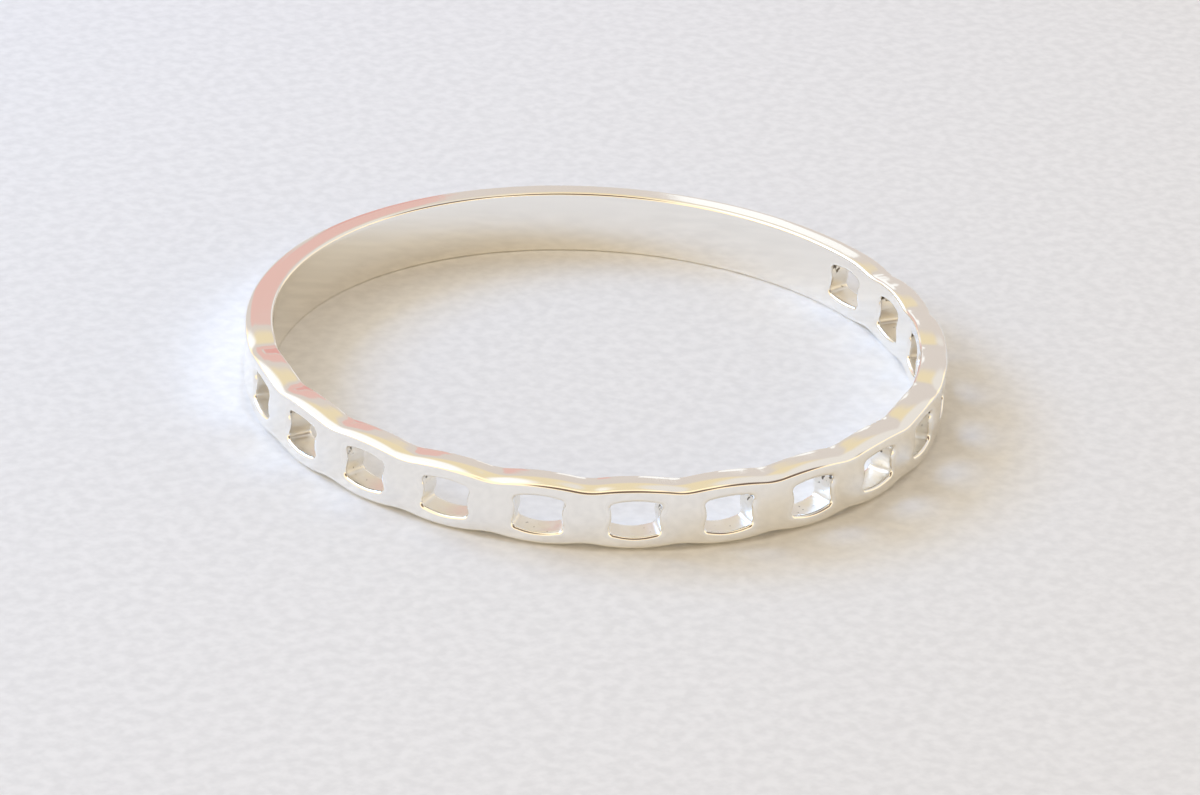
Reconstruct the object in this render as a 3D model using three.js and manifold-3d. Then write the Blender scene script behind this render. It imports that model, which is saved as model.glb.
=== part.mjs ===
// An openwork finger ring, cast in one piece, lying flat on its side.
// Millimetres. The ring's axis is +Z, the middle of the openwork faces -Y,
// and the lowest points of the lower edge are at z = 0.
import * as THREE from "three";
import { mergeVertices } from "three/addons/utils/BufferGeometryUtils.js";
import Module from "manifold-3d";

const wasm = await Module();
wasm.setup();

// The band.
const innerDiameter = 17.3;
const bandThickness = 0.75;
const crestHeight = 1.8;
// The edges are domed: how far they fall away on the outside, across and down.
const outerDomeAcross = 0.36;
const outerDomeDown = 0.15;
// The radius of the edges on the finger side.
const innerRound = 0.08;

// The openwork: a row of windows, each under its own scallop of both edges.
const windowCount = 14;
const windowPitchDegrees = 15.08;
// How far each edge dips at a post, between two scallops.
const valleyDepth = 0.093;
// How far down from a crest, as a share of the way, the edge starts to level out into the valley.
const crestShare = 0.75;
// How far along the plain back the edge takes to rise from the valley at the -X end.
// At the +X end there is no valley: the last scallop runs on level into the plain back.
const valleyRunDegrees = 7.5;

// One window, measured on the band's outer face.
const windowWidth = 1.32;
const windowSideHeight = 0.88;
// How much higher the window is cut in its middle, at the top and at the bottom.
const windowArch = 0.06;
const windowCornerRadius = 0.15;
// How far the posts swell into the window at half height.
const postSwell = 0.06;

// How finely the curves are cut up.
const stepsPerWindow = 10;
const stepsPerValleyRun = 5;
const stepsRoundBack = 38;
const stepsPerOuterDome = 3;
const stepsPerInnerRound = 3;
const stepsPerWindowCorner = 4;
const stepsPerWindowArch = 6;
const stepsPerWindowSide = 4;
// How far the window cutter runs past both faces of the band.
const cutterMargin = 0.4;

const innerRadius = innerDiameter / 2;
const outerRadius = innerRadius + bandThickness;
const midHeight = crestHeight / 2;
const pitch = THREE.MathUtils.degToRad(windowPitchDegrees);
const valleyRun = THREE.MathUtils.degToRad(valleyRunDegrees);
const openworkEnd = (windowCount * pitch) / 2;
const lastCrest = openworkEnd - pitch / 2;

// A point of the ring. The angle is measured from -Y, the middle of the openwork, towards +X.
function ringPoint(radius, angle, z) {
  return [radius * Math.sin(angle), -radius * Math.cos(angle), z];
}

// How far the edge has dipped on its way from a crest, at 0, to the bottom of a valley, at 1.
function dipAt(way) {
  if (way < crestShare) {
    return (valleyDepth * way ** 2) / crestShare;
  }
  return valleyDepth * (1 - (1 - way) ** 2 / (1 - crestShare));
}

// Half the band's height at an angle between -180 and 180 degrees.
function halfHeightAt(angle) {
  if (angle > lastCrest) {
    return midHeight;
  }
  const fromMiddle = Math.abs(angle);
  if (fromMiddle > openworkEnd) {
    const stillToRise = Math.max(0, 1 - (fromMiddle - openworkEnd) / valleyRun);
    return midHeight - dipAt(stillToRise);
  }
  const windowsFromEnd = (openworkEnd - fromMiddle) / pitch;
  const fromCrest = 2 * (windowsFromEnd - Math.floor(windowsFromEnd)) - 1;
  return midHeight - dipAt(Math.abs(fromCrest));
}

// A quarter ellipse of points, starting at the given angle and turning anticlockwise.
function quarterEllipse(centreX, centreY, reachX, reachY, start, steps) {
  const points = [];
  for (let step = 0; step <= steps; step += 1) {
    const turn = start + ((Math.PI / 2) * step) / steps;
    points.push([centreX + reachX * Math.cos(turn), centreY + reachY * Math.sin(turn)]);
  }
  return points;
}

// The same with one radius both ways.
function quarterRound(centreX, centreY, radius, start, steps) {
  return quarterEllipse(centreX, centreY, radius, radius, start, steps);
}

// The band's cross-section as radius and height, anticlockwise from its lower outer corner.
function bandSection(halfHeight) {
  const outerX = outerRadius - outerDomeAcross;
  const outerY = halfHeight - outerDomeDown;
  const innerX = innerRadius + innerRound;
  const innerY = halfHeight - innerRound;
  const outerDome = (y, start) =>
    quarterEllipse(outerX, y, outerDomeAcross, outerDomeDown, start, stepsPerOuterDome);
  return [
    ...outerDome(-outerY, -Math.PI / 2),
    ...outerDome(outerY, 0),
    ...quarterRound(innerX, innerY, innerRound, Math.PI / 2, stepsPerInnerRound),
    ...quarterRound(innerX, -innerY, innerRound, Math.PI, stepsPerInnerRound),
  ];
}

// The angles at which the cross-section is placed, once round the ring.
function sectionAngles() {
  const angles = [];
  const addRun = (from, to, steps) => {
    for (let step = 0; step < steps; step += 1) {
      angles.push(from + ((to - from) * step) / steps);
    }
  };
  const riseEnd = openworkEnd + valleyRun;
  addRun(-openworkEnd, openworkEnd, windowCount * stepsPerWindow);
  addRun(openworkEnd, 2 * Math.PI - riseEnd, stepsRoundBack);
  addRun(2 * Math.PI - riseEnd, 2 * Math.PI - openworkEnd, stepsPerValleyRun);
  return angles;
}

// A closed geometry from a flat list of coordinates and a flat list of corners.
function closedGeometry(coordinates, corners) {
  const geometry = new THREE.BufferGeometry();
  geometry.setAttribute("position", new THREE.Float32BufferAttribute(coordinates, 3));
  geometry.setIndex(corners);
  return geometry;
}

// The band before it is pierced: the cross-section carried round the ring.
function plainBand() {
  const coordinates = [];
  const corners = [];
  const angles = sectionAngles();
  let sectionSize = 0;
  for (const angle of angles) {
    const nearAngle = angle > Math.PI ? angle - 2 * Math.PI : angle;
    const section = bandSection(halfHeightAt(nearAngle));
    sectionSize = section.length;
    for (const [radius, height] of section) {
      coordinates.push(...ringPoint(radius, angle, midHeight + height));
    }
  }
  for (let station = 0; station < angles.length; station += 1) {
    const here = station * sectionSize;
    const ahead = ((station + 1) % angles.length) * sectionSize;
    for (let point = 0; point < sectionSize; point += 1) {
      const next = (point + 1) % sectionSize;
      corners.push(here + point, ahead + point, ahead + next);
      corners.push(here + point, ahead + next, here + next);
    }
  }
  return closedGeometry(coordinates, corners);
}

// A run of points between two corners that bows by the given amount, both ends left out.
function bowedRun(from, to, steps, bowX, bowY) {
  const points = [];
  for (let step = 1; step < steps; step += 1) {
    const share = step / steps;
    const bow = 4 * share * (1 - share);
    points.push([
      from[0] + (to[0] - from[0]) * share + bowX * bow,
      from[1] + (to[1] - from[1]) * share + bowY * bow,
    ]);
  }
  return points;
}

// One window's outline on the outer face, anticlockwise from its lower right corner.
function windowOutline() {
  const cornerX = windowWidth / 2 - windowCornerRadius;
  const cornerY = windowSideHeight / 2 - windowCornerRadius;
  const round = (x, y, start) =>
    quarterRound(x, y, windowCornerRadius, start, stepsPerWindowCorner);
  const lowerRight = round(cornerX, -cornerY, -Math.PI / 2);
  const upperRight = round(cornerX, cornerY, 0);
  const upperLeft = round(-cornerX, cornerY, Math.PI / 2);
  const lowerLeft = round(-cornerX, -cornerY, Math.PI);
  return [
    ...lowerRight,
    ...bowedRun(lowerRight.at(-1), upperRight[0], stepsPerWindowSide, -postSwell, 0),
    ...upperRight,
    ...bowedRun(upperRight.at(-1), upperLeft[0], stepsPerWindowArch, 0, windowArch),
    ...upperLeft,
    ...bowedRun(upperLeft.at(-1), lowerLeft[0], stepsPerWindowSide, postSwell, 0),
    ...lowerLeft,
    ...bowedRun(lowerLeft.at(-1), lowerRight[0], stepsPerWindowArch, 0, -windowArch),
  ];
}

// The solid that cuts one window, its side walls running to the ring's axis.
function windowCutter(centreAngle) {
  const outline = windowOutline();
  const coordinates = [];
  const corners = [];
  for (const radius of [innerRadius - cutterMargin, outerRadius + cutterMargin]) {
    for (const [across, up] of outline) {
      const angle = centreAngle + across / outerRadius;
      coordinates.push(...ringPoint(radius, angle, midHeight + up));
    }
  }
  const size = outline.length;
  for (let point = 0; point < size; point += 1) {
    const next = (point + 1) % size;
    corners.push(point, next, size + next);
    corners.push(point, size + next, size + point);
  }
  const contour = outline.map(([across, up]) => new THREE.Vector2(across, up));
  for (const [a, b, c] of THREE.ShapeUtils.triangulateShape(contour, [])) {
    corners.push(size + a, size + b, size + c);
    corners.push(c, b, a);
  }
  return closedGeometry(coordinates, corners);
}

// A geometry as a solid that can be joined and cut.
function solidFrom(geometry) {
  const merged = mergeVertices(geometry);
  return new wasm.Manifold(
    new wasm.Mesh({
      numProp: 3,
      vertProperties: new Float32Array(merged.attributes.position.array),
      triVerts: new Uint32Array(merged.index.array),
    }),
  );
}

// A solid as a geometry again.
function geometryFrom(solid) {
  const mesh = solid.getMesh();
  const geometry = new THREE.BufferGeometry();
  geometry.setAttribute("position", new THREE.BufferAttribute(mesh.vertProperties, 3));
  geometry.setIndex(new THREE.BufferAttribute(mesh.triVerts, 1));
  geometry.computeVertexNormals();
  return geometry;
}

// The band with every window cut through it.
function piercedBand() {
  let band = solidFrom(plainBand());
  for (let number = 0; number < windowCount; number += 1) {
    const centreAngle = (number - (windowCount - 1) / 2) * pitch;
    band = band.subtract(solidFrom(windowCutter(centreAngle)));
  }
  return geometryFrom(band);
}

const polishedSilver = new THREE.MeshStandardMaterial({
  name: "polished_silver",
  color: 0xe6e4df,
  roughness: 0.16,
  metalness: 1,
});

const ringBand = new THREE.Mesh(piercedBand(), polishedSilver);
ringBand.name = "ring_band";

const ring = new THREE.Group();
ring.name = "openwork_ring";
ring.add(ringBand);

export default ring;
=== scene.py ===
"""Openwork ring: a slim cast silver band with scalloped edges and a row of pierced windows.

The band is built as a fine mesh round the fixed frame and stands for its plain solid. It lies on
its side on a pale floor, under soft studio light.
"""

import math
import random

import bmesh
import bpy
from bpy.props import FloatProperty, FloatVectorProperty, IntProperty, PointerProperty
from mathutils import Matrix, Vector, noise


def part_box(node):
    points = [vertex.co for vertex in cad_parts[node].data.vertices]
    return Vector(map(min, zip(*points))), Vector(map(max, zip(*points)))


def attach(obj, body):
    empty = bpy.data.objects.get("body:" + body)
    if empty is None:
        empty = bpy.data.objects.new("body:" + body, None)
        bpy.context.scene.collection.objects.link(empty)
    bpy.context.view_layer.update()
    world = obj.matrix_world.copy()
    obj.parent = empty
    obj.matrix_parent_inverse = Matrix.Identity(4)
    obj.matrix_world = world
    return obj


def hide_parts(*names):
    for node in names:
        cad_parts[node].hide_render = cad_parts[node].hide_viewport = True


bl_info = {
    "name": "Openwork Ring",
    "version": (1, 0, 0),
    "blender": (4, 5, 0),
    "location": "3D View > Sidebar > Ring",
    "description": "Builds a cast silver openwork ring on a pale floor",
    "category": "Add Mesh",
}

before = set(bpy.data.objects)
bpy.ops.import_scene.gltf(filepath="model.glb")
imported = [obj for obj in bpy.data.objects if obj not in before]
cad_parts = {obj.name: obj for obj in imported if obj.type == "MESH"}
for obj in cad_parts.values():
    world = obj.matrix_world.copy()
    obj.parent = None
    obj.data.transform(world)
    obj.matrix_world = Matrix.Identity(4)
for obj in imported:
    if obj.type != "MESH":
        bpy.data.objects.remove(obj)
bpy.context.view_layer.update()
CAD_LOW, CAD_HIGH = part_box("ring_band")

MM = 0.001


def srgb(code):
    """The linear colour of an sRGB hex value such as F4F2EC."""
    shares = [int(code[place : place + 2], 16) / 255 for place in (0, 2, 4)]
    return tuple(s / 12.92 if s <= 0.04045 else ((s + 0.055) / 1.055) ** 2.4 for s in shares)


class RingSizes(bpy.types.PropertyGroup):
    """The sizes of the band and of its windows."""

    outer_diameter: FloatProperty(
        name="Outer diameter",
        description="Across the band, outside",
        default=CAD_HIGH.y - CAD_LOW.y,
        unit="LENGTH",
    )
    crest_height: FloatProperty(
        name="Height",
        description="Height of the band at the crests of its scallops",
        default=CAD_HIGH.z - CAD_LOW.z,
        unit="LENGTH",
    )
    thickness: FloatProperty(
        name="Thickness",
        description="From the finger side to the outside",
        default=0.75 * MM,
        unit="LENGTH",
    )
    outer_round: FloatProperty(
        name="Outer edge round",
        description="How far down the outer face the rounding of its two edges reaches",
        default=0.15 * MM,
        unit="LENGTH",
    )
    crown: FloatProperty(
        name="Crown",
        description="How far in from the outer face the two edges start to fall away",
        default=0.36 * MM,
        unit="LENGTH",
    )
    inner_round: FloatProperty(
        name="Inner edge round",
        description="Radius of the two edges on the finger side",
        default=0.08 * MM,
        unit="LENGTH",
    )
    valley_depth: FloatProperty(
        name="Valley depth",
        description="How far each edge dips at a post",
        default=0.093 * MM,
        unit="LENGTH",
    )
    crest_share: FloatProperty(
        name="Crest share",
        description="How far down from a crest the edge starts to level out into the valley",
        default=0.75,
        subtype="FACTOR",
    )
    valley_run: FloatProperty(
        name="Valley run",
        description="Angle over which the plain back rises from the valley at the -X end",
        default=math.radians(7.5),
        subtype="ANGLE",
    )
    window_count: IntProperty(
        name="Windows",
        description="Number of windows in the openwork",
        default=14,
    )
    window_pitch: FloatProperty(
        name="Window pitch",
        description="Angle from one window to the next",
        default=math.radians(15.08),
        subtype="ANGLE",
    )
    window_width: FloatProperty(
        name="Window width",
        description="Width of a window on the outer face",
        default=1.32 * MM,
        unit="LENGTH",
    )
    window_side_height: FloatProperty(
        name="Window side height",
        description="Height of a window at its sides",
        default=0.88 * MM,
        unit="LENGTH",
    )
    window_arch: FloatProperty(
        name="Window arch",
        description="How much higher a window is cut in its middle, above and below",
        default=0.06 * MM,
        unit="LENGTH",
    )
    window_corner: FloatProperty(
        name="Window corner",
        description="Radius of a window's corners",
        default=0.15 * MM,
        unit="LENGTH",
    )
    post_swell: FloatProperty(
        name="Post swell",
        description="How far the posts swell into a window at half height",
        default=0.06 * MM,
        unit="LENGTH",
    )
    rim_round: FloatProperty(
        name="Rim round",
        description="Radius of a window's rims",
        default=0.08 * MM,
        unit="LENGTH",
    )
    hand_wander: FloatProperty(
        name="Hand wander",
        description="How much the windows differ from each other, as hand finished windows do",
        default=0.012 * MM,
        unit="LENGTH",
    )


class RingFinish(bpy.types.PropertyGroup):
    """The colours of the silver."""

    polished: FloatVectorProperty(
        name="Polished silver",
        description="Colour of the polished faces",
        default=srgb("FCFAF5"),
        subtype="COLOR",
        size=3,
    )
    cast: FloatVectorProperty(
        name="Cast silver",
        description="Colour of the window walls, left as they came from the mould",
        default=srgb("F4F1EA"),
        subtype="COLOR",
        size=3,
    )
    # Dark colour of the pores, and of the painted shade in the windows' upper corners.
    oxide_and_painted_shade: FloatVectorProperty(
        name="Oxide",
        # description="Colour of the oxide specks in the casting's pores, also painted as shade in the
        # windows' upper corners",
        description="Colour of the specks left in the casting's pores",
        default=srgb("6E675C"),
        subtype="COLOR",
        size=3,
    )


class StudioSetup(bpy.types.PropertyGroup):
    """The floor, the camera and the light."""

    floor: FloatVectorProperty(
        name="Floor",
        description="Colour of the floor",
        default=srgb("EDECEA"),
        subtype="COLOR",
        size=3,
    )
    camera_turn: FloatProperty(
        name="Camera turn",
        description="Where the camera stands round the ring, from -Y",
        default=math.radians(-30.31),
        subtype="ANGLE",
    )
    camera_reach: FloatProperty(
        name="Camera reach",
        description="From the ring's axis to the camera, along the floor",
        default=115.89 * MM,
        unit="LENGTH",
    )
    camera_height: FloatProperty(
        name="Camera height",
        description="Height of the camera above the floor",
        default=57.06 * MM,
        unit="LENGTH",
    )
    camera_pan: FloatProperty(
        name="Camera pan",
        description="How far to the right of the ring's axis the camera looks",
        default=math.radians(0.094),
        subtype="ANGLE",
    )
    camera_tilt: FloatProperty(
        name="Camera tilt",
        description="How far the camera looks down",
        default=math.radians(26.35),
        subtype="ANGLE",
    )
    camera_roll: FloatProperty(
        name="Camera roll",
        description="How far the camera leans to one side",
        default=math.radians(3.515),
        subtype="ANGLE",
    )
    lens: FloatProperty(
        name="Lens",
        description="Focal length on a frame 36 mm wide",
        default=143.97,
        unit="CAMERA",
    )


# How finely the mesh is cut up.
CORNER_STEPS = 8
SIDE_STEPS = 8
ARCH_STEPS = 16
FACE_STEPS = 5
RIM_STEPS = 3
WALL_STEPS = 8
OUTER_ROUND_STEPS = 14
FLAT_STEPS = 3
INNER_ROUND_STEPS = 5
VALLEY_RUN_STEPS = 12
BACK_STEPS = 72
# Points that lie closer together than this are one point.
WELD = 0.0005 * MM

# The casting's grain on the window walls: its width and its height.
WALL_GRAIN = 0.3 * MM
WALL_GRAIN_HEIGHT = 0.02 * MM
# How far round a window's upper corners the painted shade of the pores reaches.
CORNER_REACH = 0.4 * MM
# The seed of the small differences between the windows.
HAND_SEED = 14
# The places of the band's two materials.
POLISHED, CAST = 0, 1


def ring_point(radius, angle, z):
    """A point of the ring. The angle is measured from -Y towards +X."""
    return Vector((radius * math.sin(angle), -radius * math.cos(angle), z))


def openwork_end(sizes):
    """The angle from the middle of the openwork to either of its ends."""
    return sizes.window_count * sizes.window_pitch / 2


def dip_at(sizes, way):
    """How far the edge has dipped on its way from a crest, at 0, to a valley's bottom, at 1."""
    if way < sizes.crest_share:
        return sizes.valley_depth * way**2 / sizes.crest_share
    return sizes.valley_depth * (1 - (1 - way) ** 2 / (1 - sizes.crest_share))


def half_height(sizes, angle):
    """Half the band's height at an angle between -180 and 180 degrees."""
    middle = sizes.crest_height / 2
    last_crest = openwork_end(sizes) - sizes.window_pitch / 2
    if angle > last_crest:
        # Here the last scallop runs on level into the plain back.
        return middle
    past_end = abs(angle) - openwork_end(sizes)
    if past_end > 0:
        return middle - dip_at(sizes, max(0, 1 - past_end / sizes.valley_run))
    windows_from_end = -past_end / sizes.window_pitch
    from_crest = 2 * (windows_from_end - math.floor(windows_from_end)) - 1
    return middle - dip_at(sizes, abs(from_crest))


def quarter_round(centre_x, centre_y, radius, start, steps):
    """Points along a quarter circle that turns anticlockwise."""
    turns = [start + math.pi / 2 * step / steps for step in range(steps + 1)]
    return [(centre_x + radius * math.cos(t), centre_y + radius * math.sin(t)) for t in turns]


def between(low, high, steps):
    """Evenly spaced values from low to high, both ends included."""
    return [low + (high - low) * step / steps for step in range(steps + 1)]


def bowed_run(start, end, steps, bow_x, bow_y):
    """Points between two corners that bow by the given amount, both ends left out."""
    points = []
    for share in between(0, 1, steps)[1:-1]:
        bow = 4 * share * (1 - share)
        x = start[0] + (end[0] - start[0]) * share + bow_x * bow
        y = start[1] + (end[1] - start[1]) * share + bow_y * bow
        points.append((x, y))
    return points


def window_outline(sizes, draw):
    """One window's outline, anticlockwise from the middle of its lower right corner."""

    def wander():
        return draw.uniform(-1, 1) * sizes.hand_wander

    radius = sizes.window_corner
    right = sizes.window_width / 2 + wander() - radius
    left = -sizes.window_width / 2 + wander() + radius
    top = sizes.window_side_height / 2 + wander() - radius
    bottom = -sizes.window_side_height / 2 + wander() + radius
    lower_right = quarter_round(right, bottom, radius, -math.pi / 2, CORNER_STEPS)
    upper_right = quarter_round(right, top, radius, 0, CORNER_STEPS)
    upper_left = quarter_round(left, top, radius, math.pi / 2, CORNER_STEPS)
    lower_left = quarter_round(left, bottom, radius, math.pi, CORNER_STEPS)
    swell = sizes.post_swell
    arch = sizes.window_arch
    outline = [
        *lower_right,
        *bowed_run(lower_right[-1], upper_right[0], SIDE_STEPS, wander() - swell, 0),
        *upper_right,
        *bowed_run(upper_right[-1], upper_left[0], ARCH_STEPS, 0, arch + wander()),
        *upper_left,
        *bowed_run(upper_left[-1], lower_left[0], SIDE_STEPS, swell + wander(), 0),
        *lower_left,
        *bowed_run(lower_left[-1], lower_right[0], ARCH_STEPS, 0, wander() - arch),
    ]
    half_corner = CORNER_STEPS // 2
    return outline[half_corner:] + outline[:half_corner]


def outward_normals(outline):
    """The direction away from the window at each point of its outline."""
    normals = []
    for place, point in enumerate(outline):
        behind = outline[place - 1]
        ahead = outline[(place + 1) % len(outline)]
        along = Vector((ahead[0] - behind[0], ahead[1] - behind[1])).normalized()
        normals.append(Vector((along.y, -along.x)))
    return normals


def cell_boundary(sizes, centre, edge_round):
    """The edge of one window's stretch of face, point for point with the window's outline."""
    radius = sizes.outer_diameter / 2
    reach = sizes.window_pitch / 2
    side_steps = SIDE_STEPS + CORNER_STEPS
    arch_steps = ARCH_STEPS + CORNER_STEPS

    def edge_at(turn):
        return half_height(sizes, centre + turn) - edge_round

    def upright(turn, low, high):
        return [(turn * radius, up) for up in between(low, high, side_steps)[:-1]]

    right = upright(reach, -edge_at(reach), edge_at(reach))
    top = [(turn * radius, edge_at(turn)) for turn in between(reach, -reach, arch_steps)[:-1]]
    left = upright(-reach, edge_at(-reach), -edge_at(-reach))
    bottom = [(turn * radius, -edge_at(turn)) for turn in between(-reach, reach, arch_steps)[:-1]]
    return right + top + left + bottom


def add_grid(bm, rows, material):
    """Quads between rows of points. Rows that meet are welded later."""
    made = [[bm.verts.new(point) for point in row] for row in rows]
    for row, following in zip(made, made[1:]):
        for place in range(len(row) - 1):
            corners = (row[place], row[place + 1], following[place + 1], following[place])
            bm.faces.new(corners).material_index = material


def add_window_cell(bm, sizes, centre, draw):
    """The faces round one window, its rims and its walls."""
    outer = sizes.outer_diameter / 2
    inner = outer - sizes.thickness
    middle = sizes.crest_height / 2
    rim = sizes.rim_round
    outline = window_outline(sizes, draw)
    normals = outward_normals(outline)

    def row_at(radius, points):
        row = [ring_point(radius, centre + x / outer, middle + y) for x, y in points]
        return row + row[:1]

    def rim_points(offset):
        return [
            (x + n.x * offset, y + n.y * offset) for (x, y), n in zip(outline, normals)
        ]

    def face_rows(radius, edge_round):
        boundary = cell_boundary(sizes, centre, edge_round)
        lip = rim_points(rim)
        rows = []
        for share in between(0, 1, FACE_STEPS):
            points = []
            for far, near in zip(boundary, lip):
                x = far[0] + (near[0] - far[0]) * share
                y = far[1] + (near[1] - far[1]) * share
                points.append((x, y))
            rows.append(row_at(radius, points))
        return rows

    def rim_rows(radius, inwards):
        rows = []
        for turn in between(0, math.pi / 2, RIM_STEPS):
            points = rim_points(rim * (1 - math.sin(turn)))
            rows.append(row_at(radius + inwards * rim * (1 - math.cos(turn)), points))
        return rows

    def wall_rows():
        rows = []
        for share in between(0, 1, WALL_STEPS):
            radius = outer - rim + (inner - outer + 2 * rim) * share
            roughness = WALL_GRAIN_HEIGHT * math.sin(math.pi * share)
            points = []
            for (x, y), n in zip(outline, normals):
                place = ring_point(radius, centre + x / outer, y) / WALL_GRAIN
                offset = roughness * noise.noise(place)
                points.append((x + n.x * offset, y + n.y * offset))
            rows.append(row_at(radius, points))
        return rows

    add_grid(bm, face_rows(outer, sizes.outer_round), POLISHED)
    add_grid(bm, rim_rows(outer, -1), POLISHED)
    add_grid(bm, wall_rows(), CAST)
    add_grid(bm, rim_rows(inner, 1), POLISHED)
    add_grid(bm, face_rows(inner, sizes.inner_round), POLISHED)


def edge_section(sizes, half):
    """The band's edge as radius and height, from the outer face over the edge to the finger side."""
    outer = sizes.outer_diameter / 2
    inner = outer - sizes.thickness
    inside = sizes.inner_round
    outer_arc = []
    for turn in between(0, math.pi / 2, OUTER_ROUND_STEPS):
        radius = outer - sizes.crown * (1 - math.cos(turn))
        outer_arc.append((radius, half - sizes.outer_round * (1 - math.sin(turn))))
    flat = [(radius, half) for radius in between(outer - sizes.crown, inner + inside, FLAT_STEPS)]
    inner_arc = quarter_round(
        inner + inside, half - inside, inside, math.pi / 2, INNER_ROUND_STEPS
    )
    return outer_arc + flat[1:-1] + inner_arc


def openwork_angles(sizes):
    """The angles of the openwork's sections, both ends included."""
    end = openwork_end(sizes)
    return between(-end, end, sizes.window_count * (ARCH_STEPS + CORNER_STEPS))


def back_angles(sizes):
    """The angles of the plain back's sections, both ends included."""
    end = openwork_end(sizes)
    run_end = end + sizes.valley_run
    level_run = between(end, run_end, VALLEY_RUN_STEPS)
    back = between(run_end, 2 * math.pi - run_end, BACK_STEPS)
    valley_run = between(2 * math.pi - run_end, 2 * math.pi - end, VALLEY_RUN_STEPS)
    return level_run + back[1:-1] + valley_run


def near_angle(angle):
    """The same angle between -180 and 180 degrees."""
    return angle - 2 * math.pi if angle > math.pi else angle


def add_edges(bm, sizes, angles):
    """The upper and the lower edge over a run of angles."""
    middle = sizes.crest_height / 2
    for side in (1, -1):
        rows = []
        for angle in angles:
            section = edge_section(sizes, half_height(sizes, near_angle(angle)))
            rows.append([ring_point(radius, angle, middle + side * up) for radius, up in section])
        add_grid(bm, rows, POLISHED)


def add_back_faces(bm, sizes):
    """The plain outer and inner face of the back."""
    outer = sizes.outer_diameter / 2
    middle = sizes.crest_height / 2
    steps = SIDE_STEPS + CORNER_STEPS
    for radius, edge_round in (
        (outer, sizes.outer_round),
        (outer - sizes.thickness, sizes.inner_round),
    ):
        rows = []
        for angle in back_angles(sizes):
            reach = half_height(sizes, near_angle(angle)) - edge_round
            rows.append([ring_point(radius, angle, middle + up) for up in between(-reach, reach, steps)])
        add_grid(bm, rows, POLISHED)


def mark_corners(mesh, sizes):
    """Marks how near each point is to a window's upper corners, where the walls' dark pore colour is
    painted thicker as painted shade.
    """
    marks = mesh.attributes.new("corner", "FLOAT", "POINT")
    outer = sizes.outer_diameter / 2
    top = (sizes.crest_height + sizes.window_side_height) / 2
    for vertex, mark in zip(mesh.vertices, marks.data):
        windows = math.atan2(vertex.co.x, -vertex.co.y) / sizes.window_pitch
        from_left = windows + sizes.window_count / 2
        across = (from_left - math.floor(from_left) - 0.5) * sizes.window_pitch * outer
        gap = math.hypot(abs(across) - sizes.window_width / 2, vertex.co.z - top)
        mark.value = max(0, 1 - gap / CORNER_REACH)


def band_mesh(sizes):
    """The whole band as one closed mesh."""
    draw = random.Random(HAND_SEED)
    bm = bmesh.new()
    for number in range(sizes.window_count):
        centre = (number - (sizes.window_count - 1) / 2) * sizes.window_pitch
        add_window_cell(bm, sizes, centre, draw)
    add_edges(bm, sizes, openwork_angles(sizes))
    add_edges(bm, sizes, back_angles(sizes))
    add_back_faces(bm, sizes)
    bmesh.ops.remove_doubles(bm, verts=bm.verts, dist=WELD)
    bmesh.ops.recalc_face_normals(bm, faces=bm.faces)
    loose = [edge for edge in bm.edges if len(edge.link_faces) != 2]
    if loose:
        raise RuntimeError(f"the band isn't closed: {len(loose)} edges have no second face")
    mesh = bpy.data.meshes.new("polished_band")
    bm.to_mesh(mesh)
    bm.free()
    mesh.shade_smooth()
    mark_corners(mesh, sizes)
    return mesh


def add_node(tree, kind, settings=None, links=None):
    """Adds a node. Settings are its properties or the values of its sockets, links feed its sockets."""
    node = tree.nodes.new(kind)
    for name, value in (settings or {}).items():
        if isinstance(name, str) and hasattr(node, name):
            setattr(node, name, value)
        else:
            node.inputs[name].default_value = value
    for name, source in (links or {}).items():
        tree.links.new(source, node.inputs[name])
    return node


def new_material(name):
    """An empty node material and its tree."""
    material = bpy.data.materials.new(name)
    material.use_nodes = True
    material.node_tree.nodes.clear()
    return material, material.node_tree


# The sizes of the silver's patterns. Where there are three, they are the lengths round the band,
# up it and through its wall. Real buffing lines are finer, and are drawn this coarse to show.
BUFFING_LINE = (2.0 * MM, 0.05 * MM, 0.05 * MM)
POLISHED_SWELL = 0.9 * MM
HANDLED_PATCH = 2.5 * MM
FILE_STROKE = (0.08 * MM, 0.08 * MM, 1.5 * MM)
CASTING_PORE = 0.12 * MM
# How much more of the dark pore colour is painted right in a window's upper corner, as painted shade in
# the rough pits there.
CORNER_PAINTED_SHADE = 0.34
# The radius at which lengths round the band are measured.
PATTERN_RADIUS = 9 * MM
# A Mix node's colour sockets by their places, because their names repeat.
MIX_A, MIX_B, MIX_RESULT = 6, 7, 2


def unrolled(tree, place, lengths):
    """The band unrolled: the way round, the height and the depth, each counted in its own length."""
    split = add_node(tree, "ShaderNodeSeparateXYZ", links={0: place})
    turn = add_node(
        tree,
        "ShaderNodeMath",
        {"operation": "ARCTAN2"},
        {0: split.outputs["Y"], 1: split.outputs["X"]},
    )
    across = add_node(tree, "ShaderNodeVectorMath", {"operation": "LENGTH"}, {0: place})
    flat = add_node(
        tree,
        "ShaderNodeCombineXYZ",
        links={"X": turn.outputs[0], "Y": split.outputs["Z"], "Z": across.outputs["Value"]},
    )
    round_length, up_length, deep_length = lengths
    scale = (PATTERN_RADIUS / round_length, 1 / up_length, 1 / deep_length)
    stretched = add_node(
        tree,
        "ShaderNodeVectorMath",
        {"operation": "MULTIPLY", 1: scale},
        {0: flat.outputs[0]},
    )
    return stretched.outputs[0]


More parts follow.
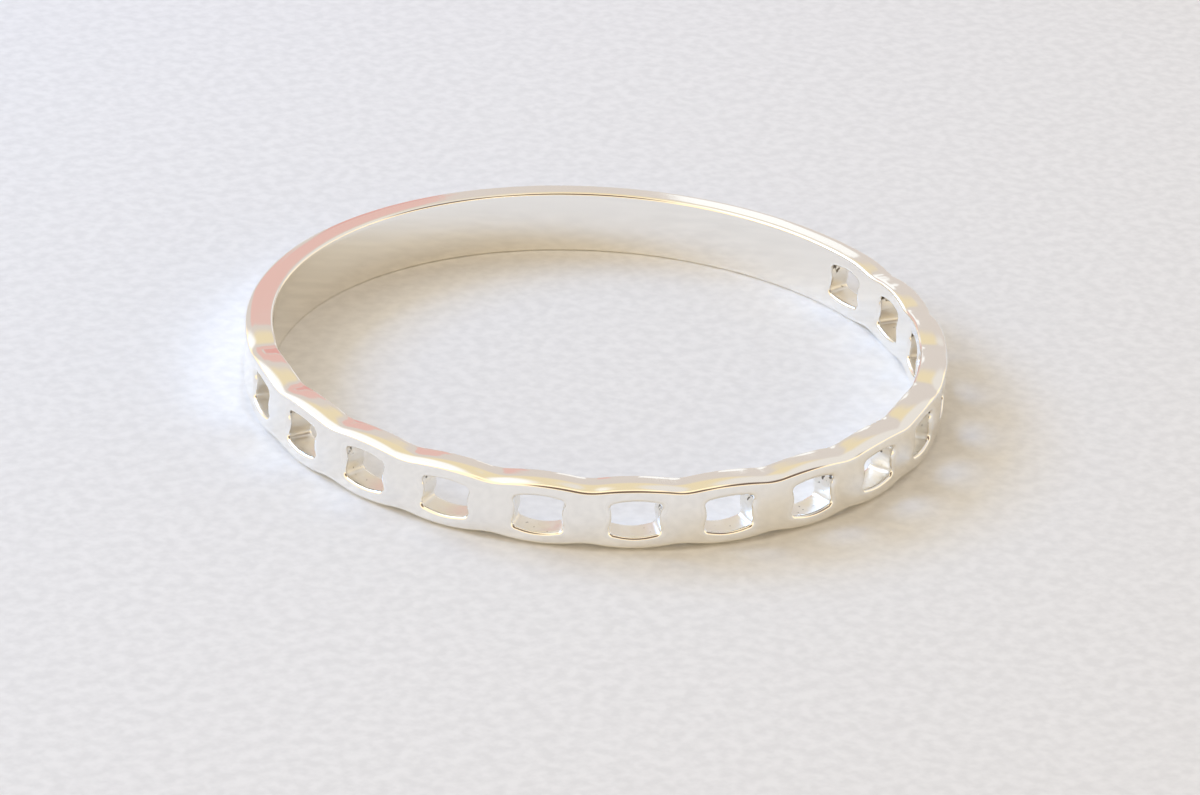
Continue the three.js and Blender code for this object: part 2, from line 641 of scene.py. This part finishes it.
def polished_silver(finish):
    """Sterling silver, cast and buffed.

    The eye sees a near mirror with a faint warm cast, softened by the buffing lines that run round
    the band and by the slight swell of a surface polished by hand.
    """
    material, tree = new_material("buffed_sterling_silver")
    coordinates = add_node(tree, "ShaderNodeTexCoord")
    place = coordinates.outputs["Object"]
    lines = add_node(
        tree,
        "ShaderNodeTexNoise",
        {"Scale": 1.0, "Detail": 3.0, "Roughness": 0.6},
        {"Vector": unrolled(tree, place, BUFFING_LINE)},
    )
    swell = add_node(
        tree,
        "ShaderNodeTexNoise",
        {"Scale": 1 / POLISHED_SWELL, "Detail": 2.0, "Roughness": 0.5},
        {"Vector": place},
    )
    handling = add_node(
        tree,
        "ShaderNodeTexNoise",
        {"Scale": 1 / HANDLED_PATCH, "Detail": 4.0, "Roughness": 0.6},
        {"Vector": place},
    )
    dulling = add_node(
        tree,
        "ShaderNodeMapRange",
        {"From Min": 0.35, "From Max": 0.7, "To Min": 0.05, "To Max": 0.13},
        {"Value": handling.outputs["Fac"]},
    )
    swell_bump = add_node(
        tree,
        "ShaderNodeBump",
        {"Strength": 1.0, "Distance": 0.004 * MM},
        {"Height": swell.outputs["Fac"]},
    )
    line_bump = add_node(
        tree,
        "ShaderNodeBump",
        {"Strength": 0.5, "Distance": 0.0006 * MM},
        {"Height": lines.outputs["Fac"], "Normal": swell_bump.outputs["Normal"]},
    )
    shader = add_node(
        tree,
        "ShaderNodeBsdfPrincipled",
        {"Base Color": (*finish.polished, 1), "Metallic": 1.0},
        {"Roughness": dulling.outputs["Result"], "Normal": line_bump.outputs["Normal"]},
    )
    add_node(tree, "ShaderNodeOutputMaterial", links={"Surface": shader.outputs[0]})
    return material


def cast_silver(finish):
    """Sterling silver as it comes from the mould, in walls that no buffing wheel reaches.

    The eye sees a bright, soft skin with the strokes of a fine file through each window. Dark
    pores are painted thicker towards the upper corners, as painted shade in the rough pits there.
    """
    material, tree = new_material("sterling_silver_cast_skin")
    coordinates = add_node(tree, "ShaderNodeTexCoord")
    place = coordinates.outputs["Object"]
    strokes = add_node(
        tree,
        "ShaderNodeTexNoise",
        {"Scale": 1.0, "Detail": 2.0, "Roughness": 0.6},
        {"Vector": unrolled(tree, place, FILE_STROKE)},
    )
    pores = add_node(
        tree,
        "ShaderNodeTexNoise",
        {"Scale": 1 / CASTING_PORE, "Detail": 1.0, "Roughness": 0.5},
        {"Vector": place},
    )
    corner = add_node(tree, "ShaderNodeAttribute", {"attribute_name": "corner"})
    # The pores, made denser towards the upper corners: there the dark colour is painted shade.
    pores_and_painted_shade = add_node(
        tree,
        "ShaderNodeMath",
        {"operation": "MULTIPLY_ADD", 1: CORNER_PAINTED_SHADE},
        {0: corner.outputs["Fac"], 2: pores.outputs["Fac"]},
    )
    pore_share = add_node(
        tree,
        "ShaderNodeMapRange",
        {"From Min": 0.72, "From Max": 0.82, "To Min": 0.0, "To Max": 1.0},
        {"Value": pores_and_painted_shade.outputs[0]},
    )
    colour = add_node(
        tree,
        "ShaderNodeMix",
        {"data_type": "RGBA", MIX_A: (*finish.cast, 1), MIX_B: (*finish.oxide_and_painted_shade, 1)},
        {0: pore_share.outputs["Result"]},
    )
    dulling = add_node(
        tree,
        "ShaderNodeMapRange",
        {"From Min": 0.3, "From Max": 0.7, "To Min": 0.28, "To Max": 0.44},
        {"Value": strokes.outputs["Fac"]},
    )
    bump = add_node(
        tree,
        "ShaderNodeBump",
        {"Strength": 0.55, "Distance": 0.01 * MM},
        {"Height": strokes.outputs["Fac"]},
    )
    shader = add_node(
        tree,
        "ShaderNodeBsdfPrincipled",
        {"Metallic": 1.0},
        {
            "Base Color": colour.outputs[MIX_RESULT],
            "Roughness": dulling.outputs["Result"],
            "Normal": bump.outputs["Normal"],
        },
    )
    add_node(tree, "ShaderNodeOutputMaterial", links={"Surface": shader.outputs[0]})
    return material


class RING_OT_band(bpy.types.Operator):
    """Builds the pierced silver band"""

    bl_idname = "openwork_ring.band"
    bl_label = "Silver Band"

    def execute(self, context):
        scene = context.scene
        band = bpy.data.objects.new("polished_band", band_mesh(scene.ring_sizes))
        band.data.materials.append(polished_silver(scene.ring_finish))
        band.data.materials.append(cast_silver(scene.ring_finish))
        scene.collection.objects.link(band)
        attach(band, "root")
        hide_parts("ring_band")
        return {"FINISHED"}


# The floor's width and depth in metres, and how far apart the faint flecks of its tooth are.
FLOOR_SIZE = 3.0
FLOOR_TOOTH = 0.35 * MM


def floor_paper(studio):
    """Heavy uncoated paper: the eye sees an even, matt, pale sheet with a faint tooth."""
    material, tree = new_material("uncoated_paper")
    coordinates = add_node(tree, "ShaderNodeTexCoord")
    tooth = add_node(
        tree,
        "ShaderNodeTexNoise",
        {"Scale": 1 / FLOOR_TOOTH, "Detail": 2.0, "Roughness": 0.5},
        {"Vector": coordinates.outputs["Object"]},
    )
    shade = add_node(
        tree,
        "ShaderNodeMapRange",
        {"From Min": 0.35, "From Max": 0.65, "To Min": 0.92, "To Max": 1.0},
        {"Value": tooth.outputs["Fac"]},
    )
    colour = add_node(
        tree,
        "ShaderNodeVectorMath",
        {"operation": "SCALE", 0: tuple(studio.floor)},
        {"Scale": shade.outputs["Result"]},
    )
    shader = add_node(
        tree,
        "ShaderNodeBsdfPrincipled",
        {"Roughness": 0.9, "Specular IOR Level": 0.2},
        {"Base Color": colour.outputs[0]},
    )
    add_node(tree, "ShaderNodeOutputMaterial", links={"Surface": shader.outputs[0]})
    return material


def flat_sheet(name, width, height, material):
    """A flat sheet of one material, lying in its own XY plane."""
    bm = bmesh.new()
    bmesh.ops.create_grid(bm, x_segments=1, y_segments=1, size=0.5)
    bmesh.ops.scale(bm, vec=(width, height, 1), verts=bm.verts)
    mesh = bpy.data.meshes.new(name)
    bm.to_mesh(mesh)
    bm.free()
    mesh.materials.append(material)
    return bpy.data.objects.new(name, mesh)


def add_floor(scene, studio):
    """The floor that the ring lies on."""
    floor = flat_sheet("floor", FLOOR_SIZE, FLOOR_SIZE, floor_paper(studio))
    floor.location.z = CAD_LOW.z
    scene.collection.objects.link(floor)


def seen_from_camera(studio, right, away, up):
    """A direction or place given as seen from the camera, turned into the ring's own frame."""
    return Matrix.Rotation(studio.camera_turn, 3, "Z") @ Vector((right, away, up))


def face_ring(thing, studio, place):
    """Stands a lamp or a card at its place, facing the ring and unseen by the camera."""
    thing.location = seen_from_camera(studio, *place) * MM
    thing.rotation_euler = thing.location.to_track_quat("Z", "Y").to_euler()
    thing.visible_camera = False


# The lamps: name, place as seen from the camera (right, away, up) in millimetres, width and height
# in millimetres, radiance, and colour.
LAMPS = (
    ("window", (-138, 56, 97), (120, 62), 7.5, "80B8FF"),
    ("white_wall", (-150, -30, 140), (130, 110), 0.9, "FFFFFF"),
)

# The cards that the ring mirrors, behind it and above the picture: name, place as seen from the
# camera (right, away, up) in millimetres, width and height in millimetres, brightness, and colour.
CARDS = (
    ("pale_rose_card", (-13, 60, 25.5), (13, 13), 1.0, "E6BFB8"),
    ("side_rose_card", (-25, 60, 20), (11, 24), 1.0, "E6BFB8"),
    ("low_rose_card", (-12.5, 60, 11), (8, 12), 1.0, "E3ABA5"),
    ("white_card", (6, 60, 21.5), (6.4, 19), 1.05, "FFFFFF"),
    ("side_white_card", (10.2, 60, 25.5), (2, 8.5), 1.05, "FFFFFF"),
)

# The soft patches of the room's light: name, turn from straight behind the ring towards the right,
# height above the horizon, how far the full patch reaches and where it ends, all in degrees, then
# colour and radiance.
ROOM = (
    ("far_side", 0, 12, 30, 40, "DCD3CD", 1.0),
    ("gilt_ceiling", 0, 64, 24, 34, "ECDDBB", 1.0),
    ("pale_side", 55, 44, 26, 36, "EAE5E0", 1.0),
    ("white_corner", -72, 42, 32, 42, "FFFFFF", 1.05),
    ("dark_corner", 170, 42, 20, 32, "7A6458", 0.9),
    ("dark_side", 115, 40, 14, 26, "7A6458", 0.9),
)
# The rest of the room.
ROOM_COLOUR, ROOM_RADIANCE = "FAE8C6", 1.36

# How much mirrored light is smoothed. The usual 1.0 loses the bright curves that the ring throws on
# the floor.
GLOSSY_SMOOTHING = 0.2

# The width of the camera's frame in millimetres, and how near and how far it sees in metres.
FRAME_WIDTH = 36
NEAREST, FARTHEST = 5 * MM, 10


def lit(colour, radiance):
    """The colour of light of the given radiance, from an sRGB hex value."""
    return (*(radiance * share for share in srgb(colour)), 1)


def add_lamps(scene, studio):
    """Soft lamps, each an even sheet of light."""
    for name, place, (width, height), radiance, colour in LAMPS:
        light = bpy.data.lights.new(name, "AREA")
        light.shape = "RECTANGLE"
        light.size = width * MM
        light.size_y = height * MM
        # A sheet's power is pi times its radiance times its area.
        light.energy = radiance * math.pi * light.size * light.size_y
        light.color = srgb(colour)
        lamp = bpy.data.objects.new(name, light)
        face_ring(lamp, studio, place)
        scene.collection.objects.link(lamp)


def glowing_card(name, colour, brightness):
    """A lit sheet of smooth card: the eye meets it only as a mirrored patch of even colour."""
    material, tree = new_material(name)
    shader = add_node(
        tree, "ShaderNodeEmission", {"Color": (*srgb(colour), 1), "Strength": brightness}
    )
    add_node(tree, "ShaderNodeOutputMaterial", links={"Surface": shader.outputs[0]})
    return material


def add_cards(scene, studio):
    """Cards that stand behind the ring."""
    for name, place, (width, height), brightness, colour in CARDS:
        card = flat_sheet(name, width * MM, height * MM, glowing_card(name, colour, brightness))
        face_ring(card, studio, place)
        scene.collection.objects.link(card)


def add_room(scene, studio):
    """The light of the room: warm and pale all round, with a few soft patches."""
    world = bpy.data.worlds.new("room")
    world.use_nodes = True
    tree = world.node_tree
    tree.nodes.clear()
    direction = add_node(tree, "ShaderNodeTexCoord").outputs["Generated"]
    light = None
    for name, turn, height, full, end, colour, radiance in ROOM:
        turn, height = math.radians(turn), math.radians(height)
        flat = math.cos(height)
        aim = seen_from_camera(
            studio, flat * math.sin(turn), flat * math.cos(turn), math.sin(height)
        )
        nearness = add_node(
            tree, "ShaderNodeVectorMath", {"operation": "DOT_PRODUCT", 1: aim}, {0: direction}
        )
        share = add_node(
            tree,
            "ShaderNodeMapRange",
            {
                "interpolation_type": "SMOOTHSTEP",
                "From Min": math.cos(math.radians(end)),
                "From Max": math.cos(math.radians(full)),
            },
            {"Value": nearness.outputs["Value"]},
        )
        mixed = add_node(
            tree,
            "ShaderNodeMix",
            {
                "label": name,
                "data_type": "RGBA",
                MIX_A: lit(ROOM_COLOUR, ROOM_RADIANCE),
                MIX_B: lit(colour, radiance),
            },
            {0: share.outputs["Result"]},
        )
        # Each patch lies over the ones before it, and the first over the rest of the room.
        if light is not None:
            tree.links.new(light, mixed.inputs[MIX_A])
        light = mixed.outputs[MIX_RESULT]
    background = add_node(tree, "ShaderNodeBackground", links={"Color": light})
    add_node(tree, "ShaderNodeOutputWorld", links={"Surface": background.outputs[0]})
    scene.world = world


def add_camera(scene, studio):
    """The camera, at the angle from which the ring is seen."""
    camera = bpy.data.objects.new("camera", bpy.data.cameras.new("camera"))
    camera.data.lens = studio.lens
    camera.data.sensor_width = FRAME_WIDTH
    camera.data.clip_start = NEAREST
    camera.data.clip_end = FARTHEST
    place = seen_from_camera(studio, 0, -studio.camera_reach, studio.camera_height)
    turn = Matrix.Rotation(studio.camera_turn - studio.camera_pan, 4, "Z")
    tilt = Matrix.Rotation(math.pi / 2 - studio.camera_tilt, 4, "X")
    roll = Matrix.Rotation(studio.camera_roll, 4, "Z")
    camera.matrix_world = Matrix.Translation(place) @ turn @ tilt @ roll
    scene.collection.objects.link(camera)
    scene.camera = camera


class RING_OT_stage(bpy.types.Operator):
    """Sets up the floor, the lamps, the cards, the room's light and the camera"""

    bl_idname = "openwork_ring.stage"
    bl_label = "Studio"

    def execute(self, context):
        scene = context.scene
        studio = scene.ring_studio
        add_floor(scene, studio)
        add_lamps(scene, studio)
        add_cards(scene, studio)
        add_room(scene, studio)
        add_camera(scene, studio)
        scene.view_settings.view_transform = "Standard"
        scene.cycles.blur_glossy = GLOSSY_SMOOTHING
        return {"FINISHED"}


class RING_PT_panel(bpy.types.Panel):
    """Lists the ring's sizes, finish and studio"""

    bl_idname = "RING_PT_panel"
    bl_label = "Openwork Ring"
    bl_space_type = "VIEW_3D"
    bl_region_type = "UI"
    bl_category = "Ring"

    def draw(self, context):
        scene = context.scene
        for group in (scene.ring_sizes, scene.ring_finish, scene.ring_studio):
            box = self.layout.box()
            for name in group.bl_rna.properties.keys():
                if name not in ("rna_type", "name"):
                    box.prop(group, name)
        self.layout.operator(RING_OT_band.bl_idname)
        self.layout.operator(RING_OT_stage.bl_idname)


CLASSES = (RingSizes, RingFinish, StudioSetup, RING_OT_band, RING_OT_stage, RING_PT_panel)


def register():
    for cls in CLASSES:
        bpy.utils.register_class(cls)
    bpy.types.Scene.ring_sizes = PointerProperty(type=RingSizes)
    bpy.types.Scene.ring_finish = PointerProperty(type=RingFinish)
    bpy.types.Scene.ring_studio = PointerProperty(type=StudioSetup)


def unregister():
    del bpy.types.Scene.ring_studio
    del bpy.types.Scene.ring_finish
    del bpy.types.Scene.ring_sizes
    for cls in reversed(CLASSES):
        bpy.utils.unregister_class(cls)


def main():
    register()
    bpy.ops.openwork_ring.band()
    bpy.ops.openwork_ring.stage()


if __name__ == "__main__":
    main()
